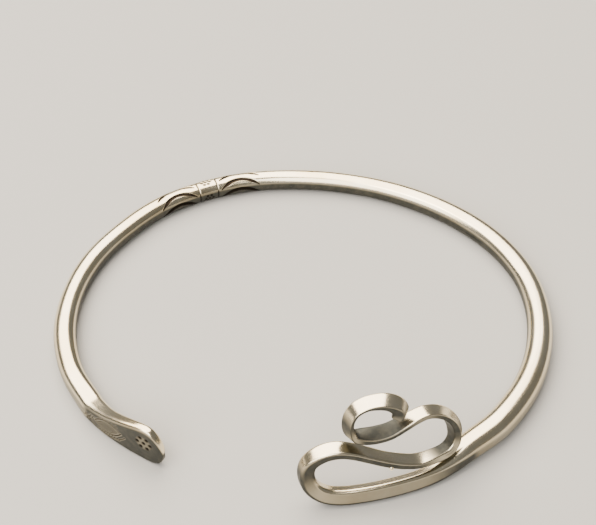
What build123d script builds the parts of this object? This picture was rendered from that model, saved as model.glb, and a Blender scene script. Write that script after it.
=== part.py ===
"""Silver bangle: one forged rod with a stamped paddle at one end and a scroll at the other.

The bangle lies on its side. The rod bends round the wrist as an oval in the XY plane, with the
opening towards -Y. Its underside rests on Z = 0, and the scroll stands up towards +Z. The origin
is on that surface, under the middle of the whole bangle. Lengths are in millimetres.
"""
import os
from collections import namedtuple
from math import cos, degrees, hypot, radians, sin

from build123d import *

# The wrist opening, inside the rod
wrist_width = 61.1
wrist_depth = 52.9

# The rod, at its thickest, beside the scroll
rod_diameter = 3.6

# The ends, as angles round the oval from +X
paddle_root_angle = 215.0
scroll_foot_angle = -46.0

# The paddle, hammered flat across the wrist's curve
paddle_length = 13.3
paddle_height = 6.15
paddle_thickness = 1.25

# The scroll, bent from the drawn-down end of the rod
scroll_length = 22.4
scroll_height = 15.2
scroll_lean = 3.2
scroll_stand_out = 1.3
strand_breadth = 2.2
strand_thickness = 2.2

# The collar on the rod's far side: two engraved lines round it, with gouged crescents beside them
collar_angle = 118.3
collar_width = 2.9
collar_arcs = 3
crescents_round = 6
crescent_length = 6.0
crescent_gap = 0.5
crescent_turn = 154.0
crescent_sweep = 47.0

# The marks punched in the paddle's outer face: a rosette near the tip, then a pointed eye. Each
# is placed by its distance from the tip and its height over the lower edge.
rosette_distance = 2.7
rosette_height = 3.6
rosette_radius = 0.95
rosette_petals = 6
eye_near = 6.3
eye_far = 10.8
eye_near_height = 2.8
eye_far_height = 2.2
eye_breadth = 2.2
eye_inset = 0.4

# How big and deep the marks are: a groove is round in section, with its middle near the skin
line_radius = 0.12
crescent_radius = 0.2
crescent_lift = 0.05
petal_radius = 0.32
punch_depth = 0.15

# The oval's middle, a little off the middle of the whole bangle
oval_across = -0.12
oval_deep = 0.24

# A drop of solder under the scroll's second strand: which of the table's rows it hangs between,
# how far it is from the first to the next, and how far out towards the strand's outer edge
drop_row = 21
drop_share = 0.26
drop_outward = 0.9
drop_radius = 0.4

# How round a section is: 1 is a full round, and less leaves flats between soft corners
rod_roundness = 0.9
strand_roundness = 0.55
paddle_roundness = 0.7

# Paddle, from the tip to the root. back is a share of the paddle's length, and under and over
# are the lower and upper edges as shares of its height. thick is a share of its thickness, and
# bow is how far it stands outside the oval, as a share of the same.
Paddle = namedtuple("Paddle", "back under over thick bow")
PADDLE_ROWS = [
    Paddle(0.000, 0.330, 0.500, 0.40, 0.04),
    Paddle(0.008, 0.235, 0.600, 0.64, 0.04),
    Paddle(0.035, 0.120, 0.750, 0.82, 0.03),
    Paddle(0.085, 0.040, 0.900, 0.93, 0.02),
    Paddle(0.150, 0.005, 0.990, 1.00, 0.03),
    Paddle(0.250, 0.000, 0.990, 1.06, 0.05),
    Paddle(0.400, 0.000, 0.905, 1.24, 0.10),
    Paddle(0.560, 0.000, 0.785, 1.48, 0.15),
    Paddle(0.720, 0.000, 0.660, 1.80, 0.16),
    Paddle(0.870, 0.000, 0.565, 2.12, 0.13),
    Paddle(1.000, 0.000, 0.512, 2.40, 0.10),
]

# Rod, from the paddle's root to the scroll's foot. turn is a share of the way round, bow is how
# far the rod stands outside the true oval, and girth is its diameter, both as shares of the
# rod's greatest diameter.
Rod = namedtuple("Rod", "turn bow girth")
ROD_ROWS = [
    Rod(0.050, 0.040, 0.86),
    Rod(0.103, 0.000, 0.86),
    Rod(0.157, -0.050, 0.84),
    Rod(0.211, -0.055, 0.82),
    Rod(0.264, -0.060, 0.81),
    Rod(0.318, 0.055, 0.81),
    Rod(0.372, 0.070, 0.80),
    Rod(0.425, 0.040, 0.79),
    Rod(0.479, -0.040, 0.79),
    Rod(0.533, -0.055, 0.80),
    Rod(0.586, -0.045, 0.83),
    Rod(0.640, 0.000, 0.86),
    Rod(0.693, 0.060, 0.88),
    Rod(0.747, 0.080, 0.89),
    Rod(0.800, 0.010, 0.93),
    Rod(0.854, -0.025, 0.97),
    Rod(0.908, -0.010, 1.00),
    Rod(0.962, 0.035, 1.03),
]

# Scroll, from its foot to its tip. along is a share of the scroll's length, measured from the
# foot towards the paddle, and up is the height of the bar's centre as a share of the scroll's
# height. drawn is how far the rod has been drawn down to the strand, and broad and thick are
# shares of the strand's breadth and thickness. twist turns the section about the bar, in degrees,
# and wedge is how far its outer edge is thinner, and its inner edge thicker, than its middle.
Scroll = namedtuple("Scroll", "along up drawn broad thick twist wedge")
SCROLL_ROWS = [
    Scroll(0.040, 0.118, 0.15, 1.00, 1.00, 0, 0.00),
    Scroll(0.120, 0.106, 0.42, 1.00, 1.00, 2, 0.00),
    Scroll(0.200, 0.094, 0.70, 0.96, 1.00, 4, 0.00),
    Scroll(0.280, 0.084, 0.90, 0.90, 1.00, 6, 0.00),
    Scroll(0.360, 0.080, 1.00, 0.84, 1.01, 8, 0.00),
    Scroll(0.440, 0.079, 1.00, 0.81, 1.02, 8, 0.00),
    Scroll(0.530, 0.0795, 1.00, 0.80, 1.03, 8, 0.00),
    Scroll(0.620, 0.0795, 1.00, 0.80, 1.03, 8, 0.00),
    Scroll(0.710, 0.0795, 1.00, 0.80, 1.03, 8, 0.00),
    Scroll(0.800, 0.082, 1.00, 0.81, 1.02, 9, 0.00),
    Scroll(0.882, 0.102, 1.00, 0.83, 1.00, 11, 0.00),
    Scroll(0.940, 0.148, 1.00, 0.86, 0.98, 14, 0.00),
    Scroll(0.982, 0.220, 1.00, 0.89, 0.97, 16, 0.00),
    Scroll(1.000, 0.305, 1.00, 0.92, 0.93, 18, 0.00),
    Scroll(1.000, 0.385, 1.00, 0.95, 0.87, 18, 0.00),
    Scroll(0.982, 0.455, 1.00, 0.97, 0.80, 18, 0.00),
    Scroll(0.938, 0.516, 1.00, 0.99, 0.73, 17, 0.00),
    Scroll(0.881, 0.554, 1.00, 1.00, 0.66, 15, 0.00),
    Scroll(0.810, 0.561, 1.00, 1.00, 0.60, 13, 0.00),
    Scroll(0.737, 0.531, 1.00, 1.00, 0.56, 11, 0.00),
    Scroll(0.660, 0.476, 1.00, 1.00, 0.53, 10, 0.00),
    Scroll(0.565, 0.400, 1.00, 1.00, 0.51, 7, 0.00),
    Scroll(0.465, 0.330, 1.00, 1.02, 0.49, 5, 0.10),
    Scroll(0.372, 0.282, 1.00, 1.05, 0.48, 0, 0.22),
    Scroll(0.262, 0.268, 1.00, 1.02, 0.62, -12, 0.20),
    Scroll(0.184, 0.281, 1.00, 1.02, 0.70, -19, 0.34),
    Scroll(0.136, 0.346, 1.00, 1.02, 0.76, -23, 0.43),
    Scroll(0.126, 0.445, 1.00, 1.02, 0.76, -18, 0.48),
    Scroll(0.145, 0.554, 1.00, 1.02, 0.67, -12, 0.45),
    Scroll(0.189, 0.652, 1.00, 1.02, 0.56, -7, 0.39),
    Scroll(0.247, 0.719, 1.00, 1.03, 0.49, -1, 0.32),
    Scroll(0.313, 0.752, 1.00, 1.03, 0.43, 5, 0.26),
    Scroll(0.381, 0.742, 1.00, 1.04, 0.41, 4, 0.23),
    Scroll(0.455, 0.710, 1.00, 1.06, 0.44, -3, 0.23),
    Scroll(0.536, 0.673, 1.00, 1.08, 0.50, -10, 0.24),
    Scroll(0.621, 0.663, 1.00, 1.08, 0.55, -11, 0.27),
    Scroll(0.694, 0.671, 1.00, 1.08, 0.57, 0, 0.29),
    Scroll(0.742, 0.690, 1.00, 1.06, 0.52, 14, 0.29),
    Scroll(0.764, 0.757, 1.00, 1.03, 0.41, 19, 0.27),
    Scroll(0.762, 0.857, 1.00, 1.01, 0.32, 15, 0.23),
    Scroll(0.729, 0.943, 1.00, 0.99, 0.27, 11, 0.19),
    Scroll(0.669, 0.988, 1.00, 0.99, 0.28, 9, 0.16),
    Scroll(0.609, 0.992, 1.00, 1.01, 0.37, 11, 0.15),
    Scroll(0.548, 0.976, 1.00, 1.04, 0.50, 17, 0.14),
    Scroll(0.492, 0.926, 1.00, 1.05, 0.72, 24, 0.13),
    Scroll(0.466, 0.867, 1.00, 1.04, 0.88, 28, 0.13),
    Scroll(0.475, 0.818, 1.00, 1.00, 0.80, 30, 0.13),
]

# The oval that the middle of the rod follows
half_width = (wrist_width + rod_diameter) / 2
half_depth = (wrist_depth + rod_diameter) / 2

# A section of the forged bar: the plane square to the bar, with X towards the bangle's outer
# side, and the size and shape of the bar there
Section = namedtuple("Section", "plane breadth height roundness wedge")


def outward_of(angle):
    """The direction square to the oval, away from the wrist, at an angle round it."""
    return Vector(cos(radians(angle)) / half_width, sin(radians(angle)) / half_depth, 0).normalized()


def onward_of(angle):
    """The direction round the oval from the paddle towards the scroll, at an angle round it."""
    return Vector(0, 0, 1).cross(outward_of(angle)) * -1


def on_oval(angle, outside, height):
    """A point a distance outside the oval, at a height over the surface."""
    across = oval_across + half_width * cos(radians(angle))
    deep = oval_deep + half_depth * sin(radians(angle))
    return Vector(across, deep, height) + outward_of(angle) * outside


def angle_after(start, distance, steps=40):
    """The angle reached by walking a distance round the oval, clockwise if it is negative."""
    angle = start
    for _ in range(steps):
        stride = hypot(half_width * sin(radians(angle)), half_depth * cos(radians(angle)))
        angle += degrees(distance / steps / stride)
    return angle


def between(rows, column, place, value):
    """A column's value at a place between two rows, on the straight line between them."""
    for row, following in zip(rows, rows[1:]):
        start = getattr(row, column)
        end = getattr(following, column)
        if start <= place <= end:
            share = (place - start) / (end - start)
            return getattr(row, value) + share * (getattr(following, value) - getattr(row, value))
    raise ValueError(f"{place} lies outside the table's column {column}")


def square_to(centre, outward, along, twist=0):
    """A plane square to the bar, with its X axis towards the outer side, turned about the bar."""
    bar_line = Axis(centre, along)
    return Plane(origin=centre, x_dir=outward.rotate(bar_line, twist), z_dir=along)


def paddle_section(row):
    angle = angle_after(tip_angle, -row.back * paddle_length)
    under = row.under * paddle_height
    over = row.over * paddle_height
    centre = on_oval(angle, row.bow * paddle_thickness, (under + over) / 2)
    plane = square_to(centre, outward_of(angle), onward_of(angle))
    return Section(plane, row.thick * paddle_thickness, over - under, paddle_roundness, 0)


def rod_section(row):
    angle = paddle_root_angle + row.turn * (scroll_foot_angle - paddle_root_angle)
    girth = row.girth * rod_diameter
    centre = on_oval(angle, row.bow * rod_diameter, girth / 2)
    plane = square_to(centre, outward_of(angle), onward_of(angle))
    return Section(plane, girth, girth, rod_roundness, 0)


def scroll_angle(row):
    return angle_after(scroll_foot_angle, -row.along * scroll_length)


def scroll_centre(row):
    outside = row.drawn * (scroll_stand_out - row.up * scroll_lean)
    return on_oval(scroll_angle(row), outside, row.up * scroll_height)


def heading(before, here, after):
    """The direction of the arc through three centres, at the middle one."""
    arriving = here - before
    leaving = after - here
    return arriving / arriving.length**2 + leaving / leaving.length**2


def scroll_sections():
    """The scroll's sections, each square to the line through its centre and the two beside it."""
    centres = [rod_section(ROD_ROWS[-1]).plane.origin]
    centres += [scroll_centre(row) for row in SCROLL_ROWS]
    centres.append(centres[-1] * 2 - centres[-2])
    sections = []
    for index, row in enumerate(SCROLL_ROWS):
        along = heading(*centres[index:index + 3])
        slope = Vector(0, 0, scroll_lean / scroll_height) * row.drawn
        outward = (outward_of(scroll_angle(row)) + slope).normalized()
        plane = square_to(centres[index + 1], outward, along, row.twist)
        breadth = rod_diameter + row.drawn * (row.broad * strand_breadth - rod_diameter)
        thickness = rod_diameter + row.drawn * (row.thick * strand_thickness - rod_diameter)
        roundness = rod_roundness + row.drawn * (strand_roundness - rod_roundness)
        sections.append(Section(plane, breadth, thickness, roundness, row.wedge))
    return sections


def on_rod(distance, turn, lift=0):
    """A point on the rod's skin: a distance from the collar's middle, towards the scroll, and a
    turn round the rod from its outer side, over the top. lift raises it off the skin."""
    angle = angle_after(collar_angle, -distance)
    place = (angle - paddle_root_angle) / (scroll_foot_angle - paddle_root_angle)
    radius = between(ROD_ROWS, "turn", place, "girth") * rod_diameter / 2
    bow = between(ROD_ROWS, "turn", place, "bow") * rod_diameter
    outside = bow + (radius + lift) * cos(radians(turn))
    return on_oval(angle, outside, radius + (radius + lift) * sin(radians(turn)))


def on_paddle(distance, height):
    """A point on the paddle's outer face, a distance from the tip and a height over its lower
    edge."""
    place = distance / paddle_length
    thick = between(PADDLE_ROWS, "back", place, "thick")
    bow = between(PADDLE_ROWS, "back", place, "bow")
    angle = angle_after(tip_angle, -distance)
    return on_oval(angle, (bow + thick / 2) * paddle_thickness, height)


def crescents():
    """The gouged crescents on both sides of the collar, as the three places on each one's arc.
    The places stand off the skin, because the arc between them cuts across the rod's curve."""
    arcs = []
    for side in (-1, 1):
        near = side * (collar_width / 2 + crescent_gap)
        far = side * (collar_width / 2 + crescent_gap + crescent_length)
        for index in range(crescents_round):
            turn = crescent_turn + index * 360 / crescents_round
            belly = on_rod((near + far) / 2, turn - crescent_sweep, crescent_lift)
            ends = [on_rod(distance, turn, crescent_lift) for distance in (near, far)]
            arcs.append((ends[0], belly, ends[1]))
    return arcs


def collar_lines():
    """The two engraved lines round the rod, each as arcs that follow one another round it."""
    sweep_turn = 360 / collar_arcs
    arcs = []
    for distance in (-collar_width / 2, collar_width / 2):
        for index in range(collar_arcs):
            turns = [(index + share) * sweep_turn for share in (0, 0.5, 1)]
            arcs.append([on_rod(distance, turn) for turn in turns])
    return arcs


def eye_lines():
    """The double outline of the pointed eye on the paddle, as arcs over and under its corners."""
    arcs = []
    middle = (eye_near + eye_far) / 2
    for inset in (0, eye_inset):
        near = on_paddle(eye_near + 2 * inset, eye_near_height)
        far = on_paddle(eye_far - 2 * inset, eye_far_height)
        height = (eye_near_height + eye_far_height) / 2
        for side in (-1, 1):
            arcs.append((near, on_paddle(middle, height + side * (eye_breadth / 2 - inset)), far))
    return arcs


def paddle_face(distance, height):
    """A plane on the paddle's outer face, with X towards the rod."""
    angle = angle_after(tip_angle, -distance)
    return Plane(on_paddle(distance, height), x_dir=onward_of(angle), z_dir=outward_of(angle))


def under_strand(section):
    """A place just under the second strand's skin, near its outer edge. The strand runs back
    towards the foot, so its section's Y axis points down."""
    outward = section.plane.x_dir * drop_outward * section.breadth / 2
    return section.plane.origin + outward + section.plane.y_dir * section.height / 2


def drop_middle():
    before, after = [under_strand(section) for section in scroll_sections()[drop_row:drop_row + 2]]
    return before + (after - before) * drop_share


tip_angle = angle_after(paddle_root_angle, paddle_length)
sections = [paddle_section(row) for row in PADDLE_ROWS]
sections += [rod_section(row) for row in ROD_ROWS]
sections += scroll_sections()

with BuildPart() as bangle:
    for section in sections:
        side = section.breadth / 2
        outer = section.height / 2 * (1 - section.wedge)
        inner = section.height / 2 * (1 + section.wedge)
        with BuildSketch(section.plane):
            Polygon((side, outer), (-side, inner), (-side, -inner), (side, -outer), align=None)
            fillet(vertices(), section.roundness * min(side, outer))
    loft()
    with Locations(drop_middle()):
        Sphere(drop_radius)
    grooves = [(line, line_radius) for line in collar_lines() + eye_lines()]
    grooves += [(line, crescent_radius) for line in crescents()]
    for (start, belly, end), radius in grooves:
        with BuildLine() as groove:
            ThreePointArc(start, belly, end)
        with BuildSketch(Plane(origin=groove.line @ 0, z_dir=groove.line % 0)):
            Circle(radius)
        sweep(path=groove.line, mode=Mode.SUBTRACT)
    with BuildSketch(paddle_face(rosette_distance, rosette_height)):
        Circle(petal_radius)
        with PolarLocations(rosette_radius, rosette_petals):
            Circle(petal_radius)
    extrude(amount=punch_depth, both=True, mode=Mode.SUBTRACT)

bangle.part.label = "bangle"
os.makedirs("parts", exist_ok=True)
export_step(bangle.part, "parts/bangle.step")
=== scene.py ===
"""Silver bangle: the forged bar with its punched and engraved marks, and a plain studio stage.

The bar is modelled again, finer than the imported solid, from the same sizes and tables, so that it
can carry the marks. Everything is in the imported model's frame, in metres.
"""

from collections import namedtuple
from math import atan2, cos, hypot, pi, radians, sin, sqrt

import bpy
from bpy.props import FloatProperty, FloatVectorProperty, IntProperty, PointerProperty
from mathutils import Matrix, Vector, noise


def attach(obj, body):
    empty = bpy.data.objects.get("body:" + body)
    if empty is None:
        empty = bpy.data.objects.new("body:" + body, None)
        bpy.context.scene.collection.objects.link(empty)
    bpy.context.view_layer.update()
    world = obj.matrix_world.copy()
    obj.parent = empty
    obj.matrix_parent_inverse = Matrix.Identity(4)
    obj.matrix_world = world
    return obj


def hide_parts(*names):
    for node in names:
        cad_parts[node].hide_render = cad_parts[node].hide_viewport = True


bl_info = {
    "name": "Silver bangle",
    "version": (1, 0, 0),
    "blender": (4, 5, 0),
    "location": "3D View > Sidebar > Bangle",
    "description": "Models a forged silver bangle with punched marks on a studio floor",
    "category": "Add Mesh",
}

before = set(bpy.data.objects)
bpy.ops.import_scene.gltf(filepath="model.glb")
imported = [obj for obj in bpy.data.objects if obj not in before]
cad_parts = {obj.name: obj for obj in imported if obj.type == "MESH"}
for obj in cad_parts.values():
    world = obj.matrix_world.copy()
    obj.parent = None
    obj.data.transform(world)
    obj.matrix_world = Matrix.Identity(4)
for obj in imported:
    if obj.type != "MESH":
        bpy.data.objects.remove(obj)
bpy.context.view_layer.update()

MM = 0.001

# Paddle, from the tip to the root. back is a share of the paddle's length, and under and over
# are the lower and upper edges as shares of its height. thick is a share of its thickness, and
# bow is how far it stands outside the oval, as a share of the same.
Paddle = namedtuple("Paddle", "back under over thick bow")
PADDLE_ROWS = [
    Paddle(0.000, 0.330, 0.500, 0.40, 0.04),
    Paddle(0.008, 0.235, 0.600, 0.64, 0.04),
    Paddle(0.035, 0.120, 0.750, 0.82, 0.03),
    Paddle(0.085, 0.040, 0.900, 0.93, 0.02),
    Paddle(0.150, 0.005, 0.990, 1.00, 0.03),
    Paddle(0.250, 0.000, 0.990, 1.06, 0.05),
    Paddle(0.400, 0.000, 0.905, 1.24, 0.10),
    Paddle(0.560, 0.000, 0.785, 1.48, 0.15),
    Paddle(0.720, 0.000, 0.660, 1.80, 0.16),
    Paddle(0.870, 0.000, 0.565, 2.12, 0.13),
    Paddle(1.000, 0.000, 0.512, 2.40, 0.10),
]

# Rod, from the paddle's root to the scroll's foot. turn is a share of the way round, bow is how
# far the rod stands outside the true oval, and girth is its diameter, both as shares of the
# rod's greatest diameter.
Rod = namedtuple("Rod", "turn bow girth")
ROD_ROWS = [
    Rod(0.050, 0.040, 0.86),
    Rod(0.103, 0.000, 0.86),
    Rod(0.157, -0.050, 0.84),
    Rod(0.211, -0.055, 0.82),
    Rod(0.264, -0.060, 0.81),
    Rod(0.318, 0.055, 0.81),
    Rod(0.372, 0.070, 0.80),
    Rod(0.425, 0.040, 0.79),
    Rod(0.479, -0.040, 0.79),
    Rod(0.533, -0.055, 0.80),
    Rod(0.586, -0.045, 0.83),
    Rod(0.640, 0.000, 0.86),
    Rod(0.693, 0.060, 0.88),
    Rod(0.747, 0.080, 0.89),
    Rod(0.800, 0.010, 0.93),
    Rod(0.854, -0.025, 0.97),
    Rod(0.908, -0.010, 1.00),
    Rod(0.962, 0.035, 1.03),
]

# Scroll, from its foot to its tip. along is a share of the scroll's length, measured from the
# foot towards the paddle, and up is the height of the bar's centre as a share of the scroll's
# height. drawn is how far the rod has been drawn down to the strand, and broad and thick are
# shares of the strand's breadth and thickness. twist turns the section about the bar, in degrees,
# and wedge is how far its outer edge is thinner, and its inner edge thicker, than its middle.
Scroll = namedtuple("Scroll", "along up drawn broad thick twist wedge")
SCROLL_ROWS = [
    Scroll(0.040, 0.118, 0.15, 1.00, 1.00, 0, 0.00),
    Scroll(0.120, 0.106, 0.42, 1.00, 1.00, 2, 0.00),
    Scroll(0.200, 0.094, 0.70, 0.96, 1.00, 4, 0.00),
    Scroll(0.280, 0.084, 0.90, 0.90, 1.00, 6, 0.00),
    Scroll(0.360, 0.080, 1.00, 0.84, 1.01, 8, 0.00),
    Scroll(0.440, 0.079, 1.00, 0.81, 1.02, 8, 0.00),
    Scroll(0.530, 0.0795, 1.00, 0.80, 1.03, 8, 0.00),
    Scroll(0.620, 0.0795, 1.00, 0.80, 1.03, 8, 0.00),
    Scroll(0.710, 0.0795, 1.00, 0.80, 1.03, 8, 0.00),
    Scroll(0.800, 0.082, 1.00, 0.81, 1.02, 9, 0.00),
    Scroll(0.882, 0.102, 1.00, 0.83, 1.00, 11, 0.00),
    Scroll(0.940, 0.148, 1.00, 0.86, 0.98, 14, 0.00),
    Scroll(0.982, 0.220, 1.00, 0.89, 0.97, 16, 0.00),
    Scroll(1.000, 0.305, 1.00, 0.92, 0.93, 18, 0.00),
    Scroll(1.000, 0.385, 1.00, 0.95, 0.87, 18, 0.00),
    Scroll(0.982, 0.455, 1.00, 0.97, 0.80, 18, 0.00),
    Scroll(0.938, 0.516, 1.00, 0.99, 0.73, 17, 0.00),
    Scroll(0.881, 0.554, 1.00, 1.00, 0.66, 15, 0.00),
    Scroll(0.810, 0.561, 1.00, 1.00, 0.60, 13, 0.00),
    Scroll(0.737, 0.531, 1.00, 1.00, 0.56, 11, 0.00),
    Scroll(0.660, 0.476, 1.00, 1.00, 0.53, 10, 0.00),
    Scroll(0.565, 0.400, 1.00, 1.00, 0.51, 7, 0.00),
    Scroll(0.465, 0.330, 1.00, 1.02, 0.49, 5, 0.10),
    Scroll(0.372, 0.282, 1.00, 1.05, 0.48, 0, 0.22),
    Scroll(0.262, 0.268, 1.00, 1.02, 0.62, -12, 0.20),
    Scroll(0.184, 0.281, 1.00, 1.02, 0.70, -19, 0.34),
    Scroll(0.136, 0.346, 1.00, 1.02, 0.76, -23, 0.43),
    Scroll(0.126, 0.445, 1.00, 1.02, 0.76, -18, 0.48),
    Scroll(0.145, 0.554, 1.00, 1.02, 0.67, -12, 0.45),
    Scroll(0.189, 0.652, 1.00, 1.02, 0.56, -7, 0.39),
    Scroll(0.247, 0.719, 1.00, 1.03, 0.49, -1, 0.32),
    Scroll(0.313, 0.752, 1.00, 1.03, 0.43, 5, 0.26),
    Scroll(0.381, 0.742, 1.00, 1.04, 0.41, 4, 0.23),
    Scroll(0.455, 0.710, 1.00, 1.06, 0.44, -3, 0.23),
    Scroll(0.536, 0.673, 1.00, 1.08, 0.50, -10, 0.24),
    Scroll(0.621, 0.663, 1.00, 1.08, 0.55, -11, 0.27),
    Scroll(0.694, 0.671, 1.00, 1.08, 0.57, 0, 0.29),
    Scroll(0.742, 0.690, 1.00, 1.06, 0.52, 14, 0.29),
    Scroll(0.764, 0.757, 1.00, 1.03, 0.41, 19, 0.27),
    Scroll(0.762, 0.857, 1.00, 1.01, 0.32, 15, 0.23),
    Scroll(0.729, 0.943, 1.00, 0.99, 0.27, 11, 0.19),
    Scroll(0.669, 0.988, 1.00, 0.99, 0.28, 9, 0.16),
    Scroll(0.609, 0.992, 1.00, 1.01, 0.37, 11, 0.15),
    Scroll(0.548, 0.976, 1.00, 1.04, 0.50, 17, 0.14),
    Scroll(0.492, 0.926, 1.00, 1.05, 0.72, 24, 0.13),
    Scroll(0.466, 0.867, 1.00, 1.04, 0.88, 28, 0.13),
    Scroll(0.475, 0.818, 1.00, 1.00, 0.80, 30, 0.13),
]

# The bar at one place: its centre, the way its outer side faces, the way it runs, its size, how
# round its section is, its twist about itself, its wedge, and how far its points crowd on the
# outer side
Station = namedtuple(
    "Station", "centre outward along breadth height roundness twist wedge crowding")

# How many faces go round the bar, and how far apart its rings are along it: closest where the
# paddle narrows to its tip, close where there are fine marks, wider in the scroll's bends, widest
# on the plain rod
FACES_ROUND = 112
TIP_REACH = 0.45 * MM
TIP_STEP = 0.022 * MM
MARKED_STEP = 0.075 * MM
SCROLL_STEP = 0.32 * MM
ROD_STEP = 0.95 * MM

# How far the points crowd on the paddle's marked face at the tip, from 0 to 1
PADDLE_CROWDING = 0.5

# How the bar's ends are closed: in how many rings, how far each end bulges, as a share of the
# paddle's or the strand's thickness, and how small the last ring is beside a full one
END_RINGS = 10
TIP_BULGE = 0.02
CURL_BULGE = 0.20
END_SCALE = 0.04

# Points nearer than this are one
MERGE_DISTANCE = 0.0001 * MM


def length_property(name, description, millimetres):
    """A size in metres that the sidebar shows as a length."""
    return FloatProperty(name=name, description=description, default=millimetres * MM,
                         subtype="DISTANCE", unit="LENGTH", precision=5)


def share_property(name, description, default):
    return FloatProperty(name=name, description=description, default=default, min=0, max=1,
                         subtype="FACTOR")


def angle_property(name, description, angle):
    return FloatProperty(name=name, description=description, default=radians(angle),
                         subtype="ANGLE", unit="ROTATION")


def linear(hex_colour):
    """An sRGB hex colour, such as "#C0A080", as linear red, green, blue and alpha."""
    channels = [int(hex_colour[start:start + 2], 16) / 255 for start in (1, 3, 5)]
    straight = [c / 12.92 if c <= 0.04045 else ((c + 0.055) / 1.055) ** 2.4 for c in channels]
    return (*straight, 1.0)


def colour_property(name, description, hex_colour):
    return FloatVectorProperty(name=name, description=description, subtype="COLOR", size=4,
                               default=linear(hex_colour), min=0, max=1)


class BangleSizes(bpy.types.PropertyGroup):
    """The forged bar's driving sizes."""
    wrist_width: length_property("Wrist width", "Opening inside the rod, the long way", 61.1)
    wrist_depth: length_property("Wrist depth", "Opening inside the rod, the short way", 52.9)
    rod_diameter: length_property("Rod diameter", "The rod at its thickest", 3.6)
    paddle_root: angle_property("Paddle root", "Where the paddle starts, round the oval", 215)
    scroll_foot: angle_property("Scroll foot", "Where the scroll starts, round the oval", -46)
    paddle_length: length_property("Paddle length", "From the tip to the root", 13.3)
    paddle_height: length_property("Paddle height", "Across the hammered face", 6.15)
    paddle_thickness: length_property("Paddle thickness", "Near the tip", 1.25)
    scroll_length: length_property("Scroll length", "From its foot to its first bend", 22.4)
    scroll_height: length_property("Scroll height", "From the floor to the last bend", 15.2)
    scroll_lean: length_property("Scroll lean", "How far the top leans inwards", 3.2)
    scroll_stand_out: length_property("Scroll stand-out", "How far the foot stands out", 1.3)
    strand_breadth: length_property("Strand breadth", "The flattened strand's width", 2.2)
    strand_thickness: length_property("Strand thickness", "The strand's thickness", 2.2)
    rod_roundness: share_property("Rod roundness", "1 is a full round section", 0.9)
    strand_roundness: share_property("Strand roundness", "1 is a full round edge", 0.55)
    paddle_roundness: share_property("Paddle roundness", "1 is a full round edge", 0.7)
    oval_across: length_property("Oval offset across", "The oval's middle along X", -0.12)
    oval_deep: length_property("Oval offset deep", "The oval's middle along Y", 0.24)
    unevenness: length_property("Unevenness", "How deep the hammer's soft hollows are", 0.06)


class MarkSizes(bpy.types.PropertyGroup):
    """The engraved collar, the gouged crescents and the paddle's punch marks."""
    collar_angle: angle_property("Collar angle", "The collar's middle, round the oval", 118.3)
    collar_width: length_property("Collar width", "Between the two engraved lines", 2.9)
    line_width: length_property("Line width", "An engraved line's width", 0.24)
    line_depth: length_property("Line depth", "How deep a line is cut", 0.10)
    crescents_round: IntProperty(name="Crescents round", description="How many go round the rod",
                                 default=6, min=1)
    crescent_length: length_property("Crescent length", "From horn to horn", 6.0)
    crescent_gap: length_property("Crescent gap", "From the engraved line to the horn", 0.5)
    crescent_width: length_property("Crescent width", "Across the sloping cut", 0.54)
    crescent_depth: length_property("Crescent depth", "At the steep outer side", 0.19)
    crescent_turn: angle_property("Crescent turn", "The first one's horns, round the rod", 154)
    crescent_sweep: angle_property("Crescent sweep", "How far the belly bows round", 47)
    flowers_round: IntProperty(name="Flowers round", description="Punched flowers on the collar",
                               default=3, min=1)
    flower_petals: IntProperty(name="Flower petals", description="Dots round its middle one",
                               default=6, min=1)
    flower_turn: angle_property("Flower turn", "The first flower, round the rod", 76)
    flower_radius: length_property("Flower radius", "From its middle to its petals", 0.60)
    dot_radius: length_property("Dot radius", "A flower petal's punch mark", 0.32)
    punch_depth: length_property("Punch depth", "How deep a punch mark is", 0.13)


class SolderSizes(bpy.types.PropertyGroup):
    """The small drop of solder under the scroll's second strand, and the stem it hangs from."""
    row: IntProperty(name="Scroll row", description="The scroll's row before the drop",
                     default=21, min=0, max=len(SCROLL_ROWS) - 2)
    way: share_property("Way on", "How far it is from that row to the next", 0.26)
    edge: share_property("Towards the edge", "1 is at the strand's outer edge", 0.9)
    aside: length_property("Aside", "The drop's middle from that place, along X", 0.25)
    hang: length_property("Hang", "The drop's middle under the strand", 0.45)
    radius: length_property("Drop radius", "Before its top is drawn up", 0.3)
    stem_start: length_property("Stem start", "Where the stem starts, over the middle", 0.15)
    stem_lean: length_property("Stem lean", "How far the top leans back", 0.1)
    stem_length: length_property("Stem length", "How far the top is drawn up", 0.45)


class SilverLooks(bpy.types.PropertyGroup):
    """Colours of the silver, of its oxide, and of the grey laid on as tarnishing and as painted
    shade.
    """
    bright: colour_property("Bright silver", "Burnished sterling silver", "#F5E8C9")
    warm: colour_property("Warm silver", "Thin yellow tarnish film", "#EBD9B2")
    # This grey is also painted as shade on the undersides, inside the scroll's bends and over the
    # paddle's face
    tarnish: colour_property("Tarnish", "Grey tarnish that polishing misses", "#454642")
    oxide: colour_property("Oxide", "Black oxide left in the marks", "#231D17")


class StageSettings(bpy.types.PropertyGroup):
    """The studio: camera, floor, and the light of the room around them."""
    lens: FloatProperty(name="Lens", description="Focal length in millimetres", default=95.6)
    camera_place: FloatVectorProperty(name="Camera", description="Where the camera stands",
                                      subtype="XYZ", unit="LENGTH",
                                      default=(6.83 * MM, -144.26 * MM, 162.7 * MM))
    camera_target: FloatVectorProperty(name="Target", description="What the camera looks at",
                                       subtype="XYZ", unit="LENGTH",
                                       default=(-1.35 * MM, 12.59 * MM, 0))
    floor_colour: colour_property("Floor", "The floor's plain pale paint", "#AFADA8")
    floor_size: length_property("Floor size", "The floor's side", 1600)
    room_colour: colour_property("Room colour", "The light from all round", "#C6C8CA")
    room_light: FloatProperty(name="Room light", description="How strong it is", default=0.30,
                              min=0)


# Places on the bar


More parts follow.
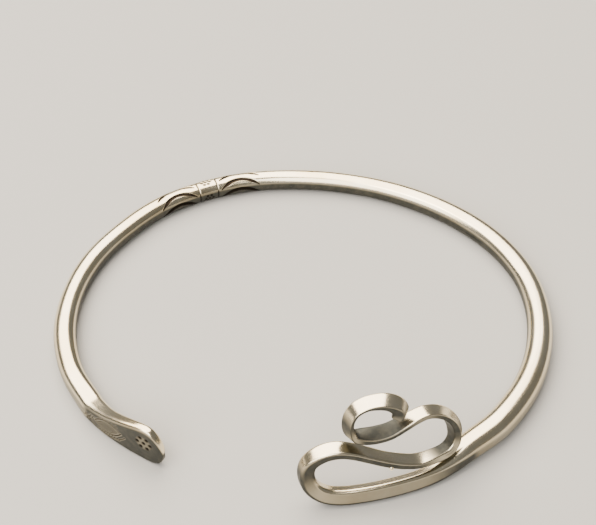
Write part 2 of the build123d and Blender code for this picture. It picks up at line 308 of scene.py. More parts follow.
def outward_of(sizes, angle):
    """The direction square to the oval, away from the wrist, at an angle round it."""
    across, deep = oval_halves(sizes)
    return Vector((cos(angle) / across, sin(angle) / deep, 0)).normalized()


def onward_of(sizes, angle):
    """The direction round the oval from the paddle towards the scroll, at an angle round it."""
    return outward_of(sizes, angle).cross(Vector((0, 0, 1)))


def oval_halves(sizes):
    """Half the width and half the depth of the oval that the middle of the rod follows."""
    return ((sizes.wrist_width + sizes.rod_diameter) / 2,
            (sizes.wrist_depth + sizes.rod_diameter) / 2)


def on_oval(sizes, angle, outside, height):
    """A point a distance outside the oval, at a height over the floor."""
    across, deep = oval_halves(sizes)
    point = Vector((sizes.oval_across + across * cos(angle),
                    sizes.oval_deep + deep * sin(angle), height))
    return point + outward_of(sizes, angle) * outside


def angle_after(sizes, start, distance, steps=40):
    """The angle reached by walking a distance round the oval, clockwise if it is negative."""
    across, deep = oval_halves(sizes)
    angle = start
    for _ in range(steps):
        angle += distance / steps / hypot(across * sin(angle), deep * cos(angle))
    return angle


def paddle_stations(sizes):
    tip = angle_after(sizes, sizes.paddle_root, sizes.paddle_length)
    stations = []
    for row in PADDLE_ROWS:
        angle = angle_after(sizes, tip, -row.back * sizes.paddle_length)
        under = row.under * sizes.paddle_height
        over = row.over * sizes.paddle_height
        centre = on_oval(sizes, angle, row.bow * sizes.paddle_thickness, (under + over) / 2)
        stations.append(Station(centre, outward_of(sizes, angle), onward_of(sizes, angle),
                                row.thick * sizes.paddle_thickness, over - under,
                                sizes.paddle_roundness, 0, 0,
                                PADDLE_CROWDING * (1 - row.back ** 3)))
    return stations


def rod_stations(sizes):
    stations = []
    for row in ROD_ROWS:
        angle = sizes.paddle_root + row.turn * (sizes.scroll_foot - sizes.paddle_root)
        girth = row.girth * sizes.rod_diameter
        centre = on_oval(sizes, angle, row.bow * sizes.rod_diameter, girth / 2)
        stations.append(Station(centre, outward_of(sizes, angle), onward_of(sizes, angle),
                                girth, girth, sizes.rod_roundness, 0, 0, 0))
    return stations


def heading(before, here, after):
    """The direction of the arc through three centres, at the middle one."""
    arriving = here - before
    leaving = after - here
    return (arriving / arriving.length_squared + leaving / leaving.length_squared).normalized()


def scroll_stations(sizes, foot_centre):
    """The scroll's stations, each running along the line through its centre and its neighbours."""
    angles = [angle_after(sizes, sizes.scroll_foot, -row.along * sizes.scroll_length)
              for row in SCROLL_ROWS]
    centres = [foot_centre]
    for row, angle in zip(SCROLL_ROWS, angles):
        outside = row.drawn * (sizes.scroll_stand_out - row.up * sizes.scroll_lean)
        centres.append(on_oval(sizes, angle, outside, row.up * sizes.scroll_height))
    centres.append(centres[-1] * 2 - centres[-2])
    stations = []
    for index, (row, angle) in enumerate(zip(SCROLL_ROWS, angles)):
        slope = Vector((0, 0, sizes.scroll_lean / sizes.scroll_height)) * row.drawn
        outward = (outward_of(sizes, angle) + slope).normalized()
        breadth = blend(sizes.rod_diameter, row.broad * sizes.strand_breadth, row.drawn)
        height = blend(sizes.rod_diameter, row.thick * sizes.strand_thickness, row.drawn)
        roundness = blend(sizes.rod_roundness, sizes.strand_roundness, row.drawn)
        stations.append(Station(centres[index + 1], outward, heading(*centres[index:index + 3]),
                                breadth, height, roundness, radians(row.twist), row.wedge, 0))
    return stations


def blend(start, end, share):
    """The value a share of the way from start to end."""
    return start + (end - start) * share


class Bar:
    """The bar's stations, and the smooth line through them."""

    def __init__(self, sizes):
        paddle = paddle_stations(sizes)
        rod = rod_stations(sizes)
        self.stations = paddle + rod + scroll_stations(sizes, rod[-1].centre)
        self.places = [0.0]
        for before, after in zip(self.stations, self.stations[1:]):
            self.places.append(self.places[-1] + (after.centre - before.centre).length)
        self.length = self.places[-1]
        self.paddle_root = self.places[len(paddle) - 1]
        self.foot_station = len(paddle) + len(rod)
        self.scroll_foot = self.places[self.foot_station]
        self.slopes = [self.slope_at(index) for index in range(len(self.stations))]

    def slope_at(self, index):
        """How fast each value changes along the bar at a station."""
        before = max(index - 1, 0)
        after = min(index + 1, len(self.stations) - 1)
        run = self.places[after] - self.places[before]
        return [(end - start) / run
                for start, end in zip(self.stations[before], self.stations[after])]

    def at(self, place):
        """The station at a place along the bar, on smooth curves between the table's rows."""
        index = 0
        while index < len(self.places) - 2 and self.places[index + 1] < place:
            index += 1
        run = self.places[index + 1] - self.places[index]
        share = min(max((place - self.places[index]) / run, 0), 1)
        start_weight = (1 + 2 * share) * (1 - share) ** 2
        end_weight = share * share * (3 - 2 * share)
        start_slope_weight = share * (1 - share) ** 2 * run
        end_slope_weight = share * share * (share - 1) * run
        values = [start * start_weight + end * end_weight
                  + start_slope * start_slope_weight + end_slope * end_slope_weight
                  for start, end, start_slope, end_slope
                  in zip(self.stations[index], self.stations[index + 1],
                         self.slopes[index], self.slopes[index + 1])]
        return Station(*values)


def section_axes(station):
    """The section's two directions: towards the bangle's outer side, and across that."""
    along = station.along.normalized()
    up = along.cross(station.outward).normalized()
    outward = up.cross(along)
    return (outward * cos(station.twist) + up * sin(station.twist),
            up * cos(station.twist) - outward * sin(station.twist))


# A stretch of the section's outline: its length, its first point and the way its skin faces
# there, and the radius it turns about, which is 0 for a straight side
Stretch = namedtuple("Stretch", "length point facing radius")


def outline(station):
    """The section's rounded outline, in stretches from its inner side's middle over the top."""
    side = station.breadth / 2
    outer = station.height / 2 * (1 - station.wedge)
    inner = station.height / 2 * (1 + station.wedge)
    slope = atan2(inner - outer, station.breadth)
    over = Vector((sin(slope), cos(slope)))
    under = Vector((sin(slope), -cos(slope)))
    corners = [
        (Vector((-side, inner)), Vector((-1, 0)), over, min(side, inner)),
        (Vector((side, outer)), over, Vector((1, 0)), min(side, outer)),
        (Vector((side, -outer)), Vector((1, 0)), under, min(side, outer)),
        (Vector((-side, -inner)), under, Vector((-1, 0)), min(side, inner)),
    ]
    stretches = []
    point = Vector((-side, 0))
    for corner, facing, next_facing, room in corners:
        radius = station.roundness * room
        middle = corner - (facing + next_facing) * radius / (1 + facing.dot(next_facing))
        arc_start = middle + facing * radius
        stretches.append(Stretch((arc_start - point).length, point, facing, 0))
        stretches.append(Stretch(radius * facing.angle(next_facing), arc_start, facing, radius))
        point = middle + next_facing * radius
    stretches.append(Stretch(-point.y, point, Vector((-1, 0)), 0))
    return stretches


def outline_point(stretches, share):
    """A point a share of the way round the outline, and the way the skin faces there."""
    walk = share * sum(stretch.length for stretch in stretches)
    for stretch in stretches:
        if walk <= stretch.length:
            break
        walk -= stretch.length
    walk = min(walk, stretch.length)
    if stretch.radius == 0:
        return stretch.point + Vector((stretch.facing.y, -stretch.facing.x)) * walk, stretch.facing
    turn = Matrix.Rotation(-walk / stretch.radius, 2)
    facing = turn @ stretch.facing
    return stretch.point + (facing - stretch.facing) * stretch.radius, facing


# Marks cut and punched in the skin


def groove_share(distance, half_width):
    """1 in the middle of a groove, falling smoothly to 0 at its edges."""
    if distance >= half_width:
        return 0
    return (1 - (distance / half_width) ** 2) ** 2


def wrapped(angle):
    """An angle between minus and plus half a turn."""
    return (angle + pi) % (2 * pi) - pi


# How wide and deep a crescent is at its horns, as shares of its middle, and over what share of
# its length each horn tapers
HORN_WIDTH = 0.3
HORN_DEPTH = 0.4
HORN_LENGTH = 0.2

# A crescent's line runs down its steep side. That side starts outside the line by a share of the
# crescent's width, and reaches the bottom inside the line by a share of that. The slope back up
# is straight with 1 and hollow with more.
STEEP_SIDE = 0.45
BOTTOM = 0.2
SLOPE_HOLLOW = 1.6

# Where a crescent's oxide starts and where it is full. On the steep side, -1 is the outer edge
# and 0 the line. On the slope, 0 is the line and 1 the far edge.
STEEP_OXIDE = (-1, -0.4)
SLOPE_OXIDE = (0.95, 0.6)

# How much stronger a punch mark's oxide is than its depth
PUNCH_OXIDE = 1.4


def crescent_mark(marks, away, turn, radius):
    """Depth and oxide of the gouged crescents, away from the collar's middle and turned round
    the rod. Each has a steep outer side and slopes back up towards its horns."""
    start = marks.collar_width / 2 + marks.crescent_gap
    share = (away - start) / marks.crescent_length
    if not 0 < share < 1:
        return 0, 0
    off_middle = 2 * share - 1
    bow = marks.crescent_sweep * (1 - off_middle ** 2)
    slope = 4 * radius * marks.crescent_sweep * off_middle / marks.crescent_length
    taper = min(1, share / HORN_LENGTH, (1 - share) / HORN_LENGTH)
    width = marks.crescent_width * blend(HORN_WIDTH, 1, taper)
    edge = STEEP_SIDE * width
    for index in range(marks.crescents_round):
        horns = marks.crescent_turn + index * 2 * pi / marks.crescents_round
        inside = wrapped(turn - horns + bow) * radius / hypot(1, slope)
        if -edge < inside < width:
            steep = smooth_step(-1, BOTTOM, inside / edge)
            cut = steep * min(1, 1 - inside / width) ** SLOPE_HOLLOW
            dark = (smooth_step(*STEEP_OXIDE, inside / edge)
                    * smooth_step(*SLOPE_OXIDE, inside / width))
            return cut * marks.crescent_depth * blend(HORN_DEPTH, 1, taper), dark
    return 0, 0


def flower_mark(marks, beside, turn, radius):
    """Depth and oxide of the punched flowers on the collar: a round dot ringed by others."""
    for index in range(marks.flowers_round):
        middle = marks.flower_turn + index * 2 * pi / marks.flowers_round
        across = wrapped(turn - middle) * radius
        if hypot(beside, across) < marks.flower_radius + marks.dot_radius:
            return dots_mark(marks, beside, across, marks.flower_radius, marks.dot_radius,
                             marks.flower_petals)
    return 0, 0


def dots_mark(marks, beside, across, ring_radius, dot_radius, petals):
    """Depth and oxide of one dot ringed by petals, around its own middle."""
    nearest = hypot(beside, across)
    for index in range(petals):
        turn = index * 2 * pi / petals
        nearest = min(nearest, hypot(beside - ring_radius * cos(turn),
                                     across - ring_radius * sin(turn)))
    cut = groove_share(nearest, dot_radius)
    return cut * marks.punch_depth, min(1, PUNCH_OXIDE * cut)


def collar_mark(marks, beside, turn, radius):
    """Depth and oxide on the rod, beside the collar's middle and turned round the rod."""
    away = abs(beside)
    line = groove_share(abs(away - marks.collar_width / 2), marks.line_width / 2)
    if line > 0:
        return line * marks.line_depth, sqrt(line)
    if away < marks.collar_width / 2:
        return flower_mark(marks, beside, turn, radius)
    return crescent_mark(marks, away, turn, radius)


# Grooves punched in the paddle's face. near and far are the groove's ends, from the tip, as
# shares of the paddle's length, and their heights are shares of its height. bow is how far the
# middle stands off the straight line between them, as a share of that line's length. width is a
# share of the paddle's thickness.
Groove = namedtuple("Groove", "near near_height far far_height bow width")
PADDLE_GROOVES = [
    # The eye's double outline
    Groove(0.475, 0.46, 0.815, 0.36, 0.24, 0.20),
    Groove(0.475, 0.46, 0.815, 0.36, -0.24, 0.20),
    Groove(0.515, 0.45, 0.775, 0.37, 0.20, 0.14),
    Groove(0.515, 0.45, 0.775, 0.37, -0.20, 0.14),
    # The long arc under the eye
    Groove(0.430, 0.40, 0.720, 0.14, -0.14, 0.16),
    # Chevrons beyond the eye
    Groove(0.835, 0.44, 0.870, 0.28, 0.00, 0.15),
    Groove(0.870, 0.43, 0.905, 0.26, 0.00, 0.15),
    Groove(0.835, 0.16, 0.875, 0.29, 0.00, 0.15),
    # The leaf by the rod
    Groove(0.960, 0.36, 1.040, 0.20, 0.28, 0.16),
    Groove(0.960, 0.36, 1.040, 0.20, -0.28, 0.16),
]

# Rows of short strokes across the eye, under it and over it, each from end to end as a groove is.
# length is a stroke's height as a share of the paddle's, slant is how far it leans for its
# height, and width is a share of the paddle's thickness.
Row = namedtuple("Row", "count near near_height far far_height length slant width")
PADDLE_STROKES = [
    Row(9, 0.560, 0.440, 0.730, 0.390, 0.16, 0.10, 0.09),
    Row(10, 0.500, 0.230, 0.790, 0.150, 0.07, -0.5, 0.14),
    Row(5, 0.520, 0.650, 0.700, 0.590, 0.05, 0.5, 0.12),
]

# Dots ringed by petals: the rosette near the tip and a small flower beyond the chevrons. place is
# a share of the paddle's length from the tip, and height, ring and dot are shares of its height.
Flower = namedtuple("Flower", "place height ring dot petals")
PADDLE_FLOWERS = [
    Flower(0.203, 0.585, 0.155, 0.066, 6),
    Flower(0.925, 0.270, 0.070, 0.036, 5),
]

# The ridge that a punch pushes up beside its groove: how far its crest is from the groove's
# middle and how far it reaches to each side, in the groove's half widths, and how polished it is
Ridge = namedtuple("Ridge", "crest reach polish")
GROOVE_RIDGE = Ridge(1.2, 0.6, 1.0)
STROKE_RIDGE = Ridge(1.4, 1.0, 0.6)

# How polished the metal between a flower's dots is, within a share of the flower's radius
FLOWER_POLISH = 0.5
FLOWER_POLISHED = 0.6


def off_groove(beside, height, start, end, bow):
    """How far a point is from a bowed line between two ends."""
    run = (end[0] - start[0], end[1] - start[1])
    length = hypot(*run)
    ahead = ((beside - start[0]) * run[0] + (height - start[1]) * run[1]) / length ** 2
    aside = ((height - start[1]) * run[0] - (beside - start[0]) * run[1]) / length
    held = min(max(ahead, 0), 1)
    curve = 4 * bow * length * held * (1 - held)
    steepness = 4 * bow * (1 - 2 * held)
    return hypot((aside - curve) / hypot(1, steepness), (ahead - held) * length)


def ridge_polish(ridge, distance, half_width):
    """How polished a spot is by the ridge of a groove, at a distance from the groove's middle."""
    off_crest = abs(distance - ridge.crest * half_width)
    return ridge.polish * groove_share(off_crest, ridge.reach * half_width)


def grooves_and_ridges(sizes, beside, height):
    """How deep in a groove or stroke a spot of the paddle's face is, and how polished it is."""
    long, tall, thick = sizes.paddle_length, sizes.paddle_height, sizes.paddle_thickness
    cut, polish = 0, 0
    for groove in PADDLE_GROOVES:
        start = (groove.near * long, groove.near_height * tall)
        end = (groove.far * long, groove.far_height * tall)
        distance = off_groove(beside, height, start, end, groove.bow)
        half_width = groove.width * thick / 2
        cut = max(cut, groove_share(distance, half_width))
        polish = max(polish, ridge_polish(GROOVE_RIDGE, distance, half_width))
    for row in PADDLE_STROKES:
        half = row.length * tall / 2
        lean = row.slant * half
        half_width = row.width * thick / 2
        for index in range(row.count):
            share = index / (row.count - 1)
            middle = (blend(row.near, row.far, share) * long,
                      blend(row.near_height, row.far_height, share) * tall)
            distance = off_groove(beside, height, (middle[0] - lean, middle[1] - half),
                                  (middle[0] + lean, middle[1] + half), 0)
            cut = max(cut, groove_share(distance, half_width))
            polish = max(polish, ridge_polish(STROKE_RIDGE, distance, half_width))
    return cut, polish


def paddle_mark(sizes, marks, beside, height):
    """Depth, oxide and polish on the paddle's face, at a distance from the tip and a height. What
    stands proud of the marks stands proud of the face's tarnished grey and painted shade too, so
    that handling polishes it."""
    cut, polish = grooves_and_ridges(sizes, beside, height)
    depth, dark = cut * marks.line_depth, cut
    for flower in PADDLE_FLOWERS:
        ring, dot = [share * sizes.paddle_height for share in (flower.ring, flower.dot)]
        onward = beside - flower.place * sizes.paddle_length
        upward = height - flower.height * sizes.paddle_height
        off_middle = hypot(onward, upward)
        if off_middle < ring + dot:
            pit, soot = dots_mark(marks, onward, upward, ring, dot, flower.petals)
            depth, dark = max(depth, pit), max(dark, soot)
            inward = smooth_step(1, FLOWER_POLISHED, off_middle / (ring + dot))
            polish = max(polish, FLOWER_POLISH * (1 - soot) * inward)
    return depth, dark, polish


# The forged bar

# Faces inside the scroll's bends that are painted with shade: between which of the scroll's
# rows, and on which side of the strand, as the sign of the section's second direction. The shade
# is full between two shares of the way along it, and fades towards both ends.
ShadedBend = namedtuple("ShadedBend", "first last side")
SHADED_BENDS = [
    # The right bend
    ShadedBend(23, 30, -1),
    # The curl
    ShadedBend(32, 38, 1),
]
BEND_SHADE_FULL = (0.25, 0.85)

# A ring of points round the bar: its place along it, how far beyond that place a rounded end
# carries it, and its size beside a full ring
Ring = namedtuple("Ring", "place shift scale")

# A point of the skin, how much oxide lies on it, and how much tarnishing and painted shade darken
# it
Skin = namedtuple("Skin", "point oxide tarnish")

# Where the painted shade starts and where it is full: on the bar's undersides by how far up the
# skin faces, and inside the scroll's bends by how squarely it faces their side
UNDERSIDE_SHADE_FACING = (0.64, 0.14)
BEND_SHADE_FACING = (0.5, 0.9)

# How much lighter the painted underside shade is made on the rod and the paddle, where they face
# out this far
SHADE_EASED_OUTWARD = 0.3
SHADE_EASED_FACING = (0.2, 0.9)

# The paddle's marked face: how far out it faces at least, and how many paddle lengths from the tip
# it ends. Its own grey, tarnishing in part and painted shade in part, starts and is full at the
# next two, and below the top it is full after a share of the paddle's height.
FACE_FACING = 0.7
FACE_END = 1.06
FACE_TARNISHING_AND_SHADE = (1.05, 0.9)
FACE_BRIGHT_EDGE = 0.10

# How much of the paddle face's tarnishing and painted shade a fully polished ridge has lost
RIDGE_RUB = 0.4

# How wide the hammer's soft hollows are
HOLLOW_SIZE = 5 * MM


def smooth_step(start, end, value):
    share = min(max((value - start) / (end - start), 0), 1)
    return share * share * (3 - 2 * share)


def bend_shade_at(bar, place, y_facing):
    """How much painted shade a spot inside the scroll's bends gets, from 0 to 1."""
    most = 0
    for shaded_bend in SHADED_BENDS:
        first = bar.places[bar.foot_station + shaded_bend.first]
        last = bar.places[bar.foot_station + shaded_bend.last]
        full_from, full_to = [blend(first, last, share) for share in BEND_SHADE_FULL]
        along = smooth_step(first, full_from, place) * smooth_step(last, full_to, place)
        most = max(most, along * smooth_step(*BEND_SHADE_FACING, y_facing * shaded_bend.side))
    return most


def collar_place(bar, sizes, marks):
    """How far along the bar the collar's middle is."""
    turn = (marks.collar_angle - sizes.paddle_root) / (sizes.scroll_foot - sizes.paddle_root)
    for index, (row, following) in enumerate(zip(ROD_ROWS, ROD_ROWS[1:])):
        if row.turn <= turn <= following.turn:
            share = (turn - row.turn) / (following.turn - row.turn)
            station = len(PADDLE_ROWS) + index
            return blend(bar.places[station], bar.places[station + 1], share)
    raise ValueError("the collar's angle lies off the rod")


def collar_reach(marks):
    """How far the collar's marks reach to each side of its middle."""
    return marks.collar_width / 2 + marks.crescent_gap + marks.crescent_length + MARKED_STEP


def rounded_end(place, bulge, sign):
    """Rings that close the bar with a rounded end, from the last full ring outwards."""
    turns = [index * pi / 2 / END_RINGS for index in range(1, END_RINGS + 1)]
    return [Ring(place, sign * bulge * sin(turn), max(cos(turn), END_SCALE)) for turn in turns]


def rings_along(bar, sizes, marks):
    """The rings of the bar's skin from the paddle's tip to the scroll's tip."""
    collar = collar_place(bar, sizes, marks)
    reach = collar_reach(marks)
    rings = []
    place = 0.0
    while place < bar.length:
        rings.append(Ring(place, 0, 1))
        if place < TIP_REACH:
            place += TIP_STEP
        elif place < bar.paddle_root or abs(place - collar) < reach:
            place += MARKED_STEP
        elif place > bar.scroll_foot:
            place += SCROLL_STEP
        else:
            place = min(place + ROD_STEP, bar.length)
            if place > collar - reach and place - ROD_STEP < collar - reach:
                place = collar - reach + MARKED_STEP / 2
    rings.append(Ring(bar.length, 0, 1))
    tip = rounded_end(0.0, TIP_BULGE * sizes.paddle_thickness, -1)
    curl = rounded_end(bar.length, CURL_BULGE * sizes.strand_thickness, 1)
    return list(reversed(tip)) + rings + curl


def face_tarnishing_and_shade(bar, sizes, station, place, height):
    """How dark the paddle's face is, tarnished in part and painted with shade in part, at a place
    along the bar and a height.
    """
    top = station.centre.z + station.height / 2
    start, full = [share * bar.paddle_root for share in FACE_TARNISHING_AND_SHADE]
    return (smooth_step(top, top - FACE_BRIGHT_EDGE * sizes.paddle_height, height)
            * smooth_step(start, full, place))


def skin_at(bar, sizes, marks, collar, ring, station, stretches, share):
    """One point of the bar's skin, with what the hammer, punch and polish did to it, and the
    painted shade and tarnishing that darken it.
    """
    crowded = share + station.crowding * sin(2 * pi * share) / (2 * pi)
    (x, y), (x_facing, y_facing) = outline_point(stretches, crowded)
    outward, up = section_axes(station)
    facing = outward * x_facing + up * y_facing
    point = station.centre + station.along.normalized() * ring.shift
    point = point + (outward * x + up * y) * ring.scale
    beside = ring.place - collar
    depth, oxide = 0, 0
    # Skin facing down is darkened grey: painted shade on the undersides
    tarnish = smooth_step(*UNDERSIDE_SHADE_FACING, facing.z * ring.scale)
    if ring.place > bar.scroll_foot:
        # Inside the scroll's bends, the faces that face in are painted with shade
        tarnish = max(tarnish, bend_shade_at(bar, ring.place, y_facing))
    else:
        # On the rod and the paddle, the painted shade is made lighter where the skin faces out
        tarnish *= 1 - SHADE_EASED_OUTWARD * smooth_step(*SHADE_EASED_FACING, x_facing)
    if abs(beside) < collar_reach(marks):
        depth, oxide = collar_mark(marks, beside, atan2(y, x), hypot(x, y))
    elif ring.place < FACE_END * bar.paddle_root and x_facing > FACE_FACING:
        depth, oxide, polish = paddle_mark(sizes, marks, ring.place, point.z)
        # The paddle's face is darkened grey, part tarnishing and part painted shade
        tarnish = max(tarnish, face_tarnishing_and_shade(bar, sizes, station, ring.place, point.z))
        tarnish *= 1 - RIDGE_RUB * polish
    hollow = (noise.noise(point / HOLLOW_SIZE) + 1) / 2 * sizes.unevenness * ring.scale
    return Skin(point - facing * (depth + hollow), oxide, tarnish)


def wrap_skin(skin, bar, sizes, marks, rings):
    """Rolls the flat grid round the bar. The grid's X runs round the section and its Y along the
    bar, both from minus to plus a half."""
    mesh = skin.data
    collar = collar_place(bar, sizes, marks)
    stations = [bar.at(ring.place) for ring in rings]
    outlines = [outline(station) for station in stations]
    last = len(rings) - 1
    oxide = mesh.attributes.new("oxide", "FLOAT", "POINT")
    tarnish = mesh.attributes.new("tarnish", "FLOAT", "POINT")
    flat = {}
    for vertex in mesh.vertices:
        share = vertex.co.x + 0.5
        index = round((vertex.co.y + 0.5) * last)
        flat[vertex.index] = (share, index)
        spot = skin_at(bar, sizes, marks, collar, rings[index], stations[index], outlines[index],
                       share)
        vertex.co = spot.point
        oxide.data[vertex.index].value = spot.oxide
        tarnish.data[vertex.index].value = spot.tarnish
    pattern = mesh.uv_layers.active.data
    for loop in mesh.loops:
        share, index = flat[loop.vertex_index]
        girth = 2 * (stations[index].breadth + stations[index].height)
        pattern[loop.index].uv = (share * girth, rings[index].place + rings[index].shift)


class BANGLE_OT_forge(bpy.types.Operator):
    """Rolls a skin round the bar from paddle to scroll and cuts the marks in it"""
    bl_idname = "bangle.forge"
    bl_label = "Forge the bangle"

    def execute(self, context):
        sizes = context.scene.bangle_sizes
        marks = context.scene.bangle_marks
        bar = Bar(sizes)
        rings = rings_along(bar, sizes, marks)
        bpy.ops.mesh.primitive_grid_add(x_subdivisions=FACES_ROUND, y_subdivisions=len(rings) - 1,
                                        size=1, location=(0, 0, 0))
        skin = context.object
        skin.name = "forged_bangle"
        wrap_skin(skin, bar, sizes, marks, rings)
        bpy.ops.object.mode_set(mode="EDIT")
        bpy.ops.mesh.select_all(action="SELECT")
        bpy.ops.mesh.remove_doubles(threshold=MERGE_DISTANCE)
        bpy.ops.mesh.fill_holes(sides=0)
        bpy.ops.mesh.select_all(action="SELECT")
        bpy.ops.mesh.normals_make_consistent(inside=False)
        bpy.ops.object.mode_set(mode="OBJECT")
        bpy.ops.object.shade_smooth()
        skin.data.materials.append(burnished_silver(context.scene.bangle_looks))
        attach(skin, "root")
        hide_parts("bangle")
        return {"FINISHED"}


class BANGLE_OT_solder(bpy.types.Operator):
    """Hangs the small drop of solder under the scroll's second strand"""
    bl_idname = "bangle.solder"
    bl_label = "Hang the solder drop"

    def execute(self, context):
        solder = context.scene.bangle_solder
        bar = Bar(context.scene.bangle_sizes)
        first = bar.foot_station + solder.row
        before, after = [under_strand(station, solder.edge)
                         for station in bar.stations[first:first + 2]]
        middle = blend(before, after, solder.way) + Vector((solder.aside, 0, -solder.hang))
        bpy.ops.mesh.primitive_uv_sphere_add(segments=32, ring_count=20, radius=solder.radius,
                                             location=middle)
        drop = context.object
        drop.name = "solder_drop"
        bpy.ops.object.transform_apply(location=True, rotation=True, scale=True)
        for vertex in drop.data.vertices:
            vertex.select = vertex.co.z > middle.z + solder.stem_start
        bpy.ops.object.mode_set(mode="EDIT")
        bpy.ops.transform.translate(value=(0, solder.stem_lean, solder.stem_length))
        bpy.ops.object.mode_set(mode="OBJECT")
        bpy.ops.object.shade_smooth()
        drop.data.materials.append(bright_solder(context.scene.bangle_looks))
        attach(drop, "root")
        return {"FINISHED"}


def under_strand(station, edge):
    """A place on the underside of the second strand, a share of the way to its outer edge. The
    strand runs back towards the foot, so its section's second axis points down."""
    outward, down = section_axes(station)
    return station.centre + outward * edge * station.breadth / 2 + down * station.height / 2


# Materials


def add_node(tree, kind, settings=None, links=None):
    """A shader node of a kind, with its settings and sockets set, and others linked to sources."""
    node = tree.nodes.new("ShaderNode" + kind)
    for name, value in (settings or {}).items():
        if isinstance(name, int) or name in node.inputs:
            node.inputs[name].default_value = value
        else:
            setattr(node, name, value)
    for name, source in (links or {}).items():
        tree.links.new(source, node.inputs[name])
    return node


def add_noise(tree, place, scale, detail):
    settings = {"Scale": scale, "Detail": detail}
    return add_node(tree, "TexNoise", settings, {"Vector": place}).outputs["Fac"]


def spread(tree, value, span, result=(0.0, 1.0)):
    """A span of a value, spread over the result's range and held in it."""
    settings = {"From Min": span[0], "From Max": span[1],
                "To Min": result[0], "To Max": result[1]}
    return add_node(tree, "MapRange", settings, {"Value": value}).outputs["Result"]


def mixed_colour(tree, share, first, second):
    """A colour between two, each given as a colour or as a socket."""
    mix = add_node(tree, "Mix", {"data_type": "RGBA"})
    tree.links.new(share, mix.inputs[0])
    for socket, value in ((mix.inputs[6], first), (mix.inputs[7], second)):
        if isinstance(value, bpy.types.NodeSocket):
            tree.links.new(value, socket)
        else:
            socket.default_value = value
    return mix.outputs[2]


def new_material(name):
    material = bpy.data.materials.new(name)
    material.use_nodes = True
    material.node_tree.nodes.clear()
    return material


def add_surface(tree, settings, links=None):
    """The material's shader, joined to its output."""
    shader = add_node(tree, "BsdfPrincipled", settings, links)
    add_node(tree, "OutputMaterial", links={"Surface": shader.outputs["BSDF"]})


def burnished_silver(looks):
    """Sterling silver, forged, burnished by hand and worn.

    Burnishing leaves it nearly as bright as a mirror but softly wavy, with fine scratches along
    the bar. A thin yellow film lies over it in patches. A grey is painted as shade on its
    undersides, inside the scroll's bends and over the paddle's face, where the metal is also
    tarnished, and black oxide stays in the marks.
    """
    material = new_material("burnished_sterling_silver")
    tree = material.node_tree
    place = add_node(tree, "TexCoord").outputs
    oxide = add_node(tree, "Attribute", {"attribute_name": "oxide"}).outputs["Fac"]
    # How much tarnishing and painted shade darken the skin
    tarnish = add_node(tree, "Attribute", {"attribute_name": "tarnish"}).outputs["Fac"]

    # Film patches are a few millimetres across
    patches = add_noise(tree, place["Object"], 1 / (6 * MM), 3.0)
    film = mixed_colour(tree, spread(tree, patches, (0.40, 0.68)), looks.bright, looks.warm)

    # The tarnished grey and the painted shade break up in specks about 0.4 mm across
    specks = add_noise(tree, place["Object"], 1 / (0.8 * MM), 5.0)
    speckled = add_node(tree, "Math", {"operation": "MULTIPLY"},
                        {0: tarnish, 1: spread(tree, specks, (0.35, 0.6), (0.97, 1.0))})
    broken = speckled.outputs["Value"]
    grey = mixed_colour(tree, broken, film, looks.tarnish)
    colour = mixed_colour(tree, oxide, grey, looks.oxide)

    # Scratches run along the bar, 0.12 mm apart and about 5 mm long, coarser than the real ones so
    # that they show
    stretch = add_node(tree, "Mapping", {"Scale": (1 / (0.12 * MM), 1 / (5 * MM), 1)},
                       {"Vector": place["UV"]})
    scratches = add_noise(tree, stretch.outputs["Vector"], 1.0, 4.0)
    relief = add_node(tree, "Bump", {"Strength": 0.10, "Distance": 0.01 * MM},
                      {"Height": scratches})

    # The tarnished grey, the painted shade and the oxide are duller than clean metal
    roughness = spread(tree, scratches, (0.35, 0.7), (0.16, 0.24))
    for dirt, dulling in ((broken, 0.28), (oxide, 0.25)):
        dulled = add_node(tree, "Math", {"operation": "MULTIPLY_ADD", 1: dulling},
                          {0: dirt, 2: roughness})
        roughness = dulled.outputs["Value"]

    add_surface(tree, {"Metallic": 1.0},
                {"Base Color": colour, "Roughness": roughness, "Normal": relief.outputs["Normal"]})
    return material


def bright_solder(looks):
    """Silver solder, left as it ran: smooth and bright, with a faint film."""
    material = new_material("silver_solder")
    tree = material.node_tree
    place = add_node(tree, "TexCoord").outputs["Object"]
    patches = add_noise(tree, place, 1 / (0.5 * MM), 2.0)
    film = mixed_colour(tree, patches, looks.bright, looks.warm)
    add_surface(tree, {"Metallic": 1.0, "Roughness": 0.16}, {"Base Color": film})
    return material


def pale_floor(stage):
    """Matt studio board, painted a plain pale grey."""
    material = new_material("matt_painted_board")
    add_surface(material.node_tree, {"Base Color": stage.floor_colour, "Roughness": 0.85})
    return material


# Stage

# The soft boxes: where each stands and how large it is, in metres, its power in watts, and its
# colour. All point at the bangle.
SoftBox = namedtuple("SoftBox", "name place width height power colour")
SOFT_BOXES = [
    SoftBox("overhead", (-0.18, 0.22, 0.55), 0.90, 0.75, 17.0, "#FFF3E2"),
    SoftBox("front", (-0.26, -0.44, 0.52), 0.90, 0.74, 11.5, "#FFFAF4"),
]


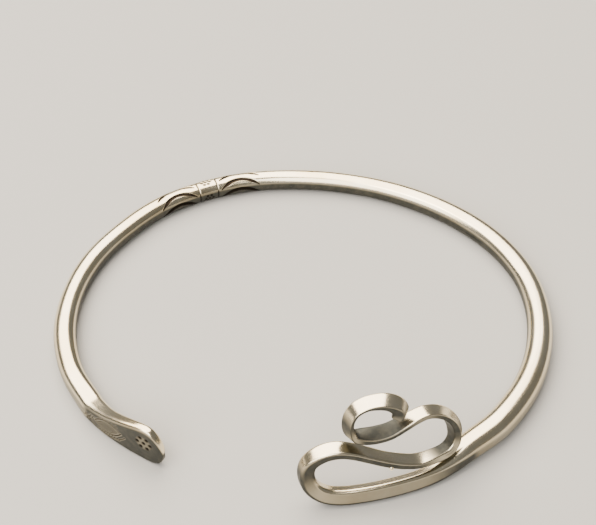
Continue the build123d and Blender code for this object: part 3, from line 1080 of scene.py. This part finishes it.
class BANGLE_OT_stage(bpy.types.Operator):
    """Lays the floor and sets the lights and the camera"""
    bl_idname = "bangle.stage"
    bl_label = "Set the stage"

    def execute(self, context):
        stage = context.scene.bangle_stage
        bpy.ops.mesh.primitive_plane_add(size=stage.floor_size, location=(0, 0, 0))
        floor = context.object
        floor.name = "floor"
        floor.data.materials.append(pale_floor(stage))
        for box in SOFT_BOXES:
            aim = Vector(box.place).to_track_quat("Z", "Y").to_euler()
            bpy.ops.object.light_add(type="AREA", location=box.place, rotation=aim)
            light = context.object
            light.name = box.name
            light.data.shape = "RECTANGLE"
            light.data.size = box.width
            light.data.size_y = box.height
            light.data.energy = box.power
            light.data.color = linear(box.colour)[:3]
        world = bpy.data.worlds.new("soft_room")
        world.use_nodes = True
        background = world.node_tree.nodes["Background"]
        background.inputs["Color"].default_value = stage.room_colour
        background.inputs["Strength"].default_value = stage.room_light
        context.scene.world = world
        place = Vector(stage.camera_place)
        aim = (place - Vector(stage.camera_target)).to_track_quat("Z", "Y").to_euler()
        bpy.ops.object.camera_add(location=place, rotation=aim)
        context.object.data.lens = stage.lens
        context.object.data.clip_start = 10 * MM
        context.scene.camera = context.object
        return {"FINISHED"}


GROUPS = {
    "bangle_sizes": BangleSizes,
    "bangle_marks": MarkSizes,
    "bangle_solder": SolderSizes,
    "bangle_looks": SilverLooks,
    "bangle_stage": StageSettings,
}
OPERATORS = (BANGLE_OT_forge, BANGLE_OT_solder, BANGLE_OT_stage)


class BANGLE_PT_sidebar(bpy.types.Panel):
    """The bangle's sizes, marks, colours and steps"""
    bl_idname = "BANGLE_PT_sidebar"
    bl_label = "Silver bangle"
    bl_space_type = "VIEW_3D"
    bl_region_type = "UI"
    bl_category = "Bangle"

    def draw(self, context):
        for operator in OPERATORS:
            self.layout.operator(operator.bl_idname)
        for name, kind in GROUPS.items():
            box = self.layout.box()
            for setting in kind.__annotations__:
                box.prop(getattr(context.scene, name), setting)


CLASSES = (*GROUPS.values(), *OPERATORS, BANGLE_PT_sidebar)


def register():
    for kind in CLASSES:
        bpy.utils.register_class(kind)
    for name, kind in GROUPS.items():
        setattr(bpy.types.Scene, name, PointerProperty(type=kind))


def unregister():
    for name in GROUPS:
        delattr(bpy.types.Scene, name)
    for kind in reversed(CLASSES):
        bpy.utils.unregister_class(kind)


def main():
    register()
    bpy.ops.bangle.forge()
    bpy.ops.bangle.solder()
    bpy.ops.bangle.stage()


if __name__ == "__main__":
    main()
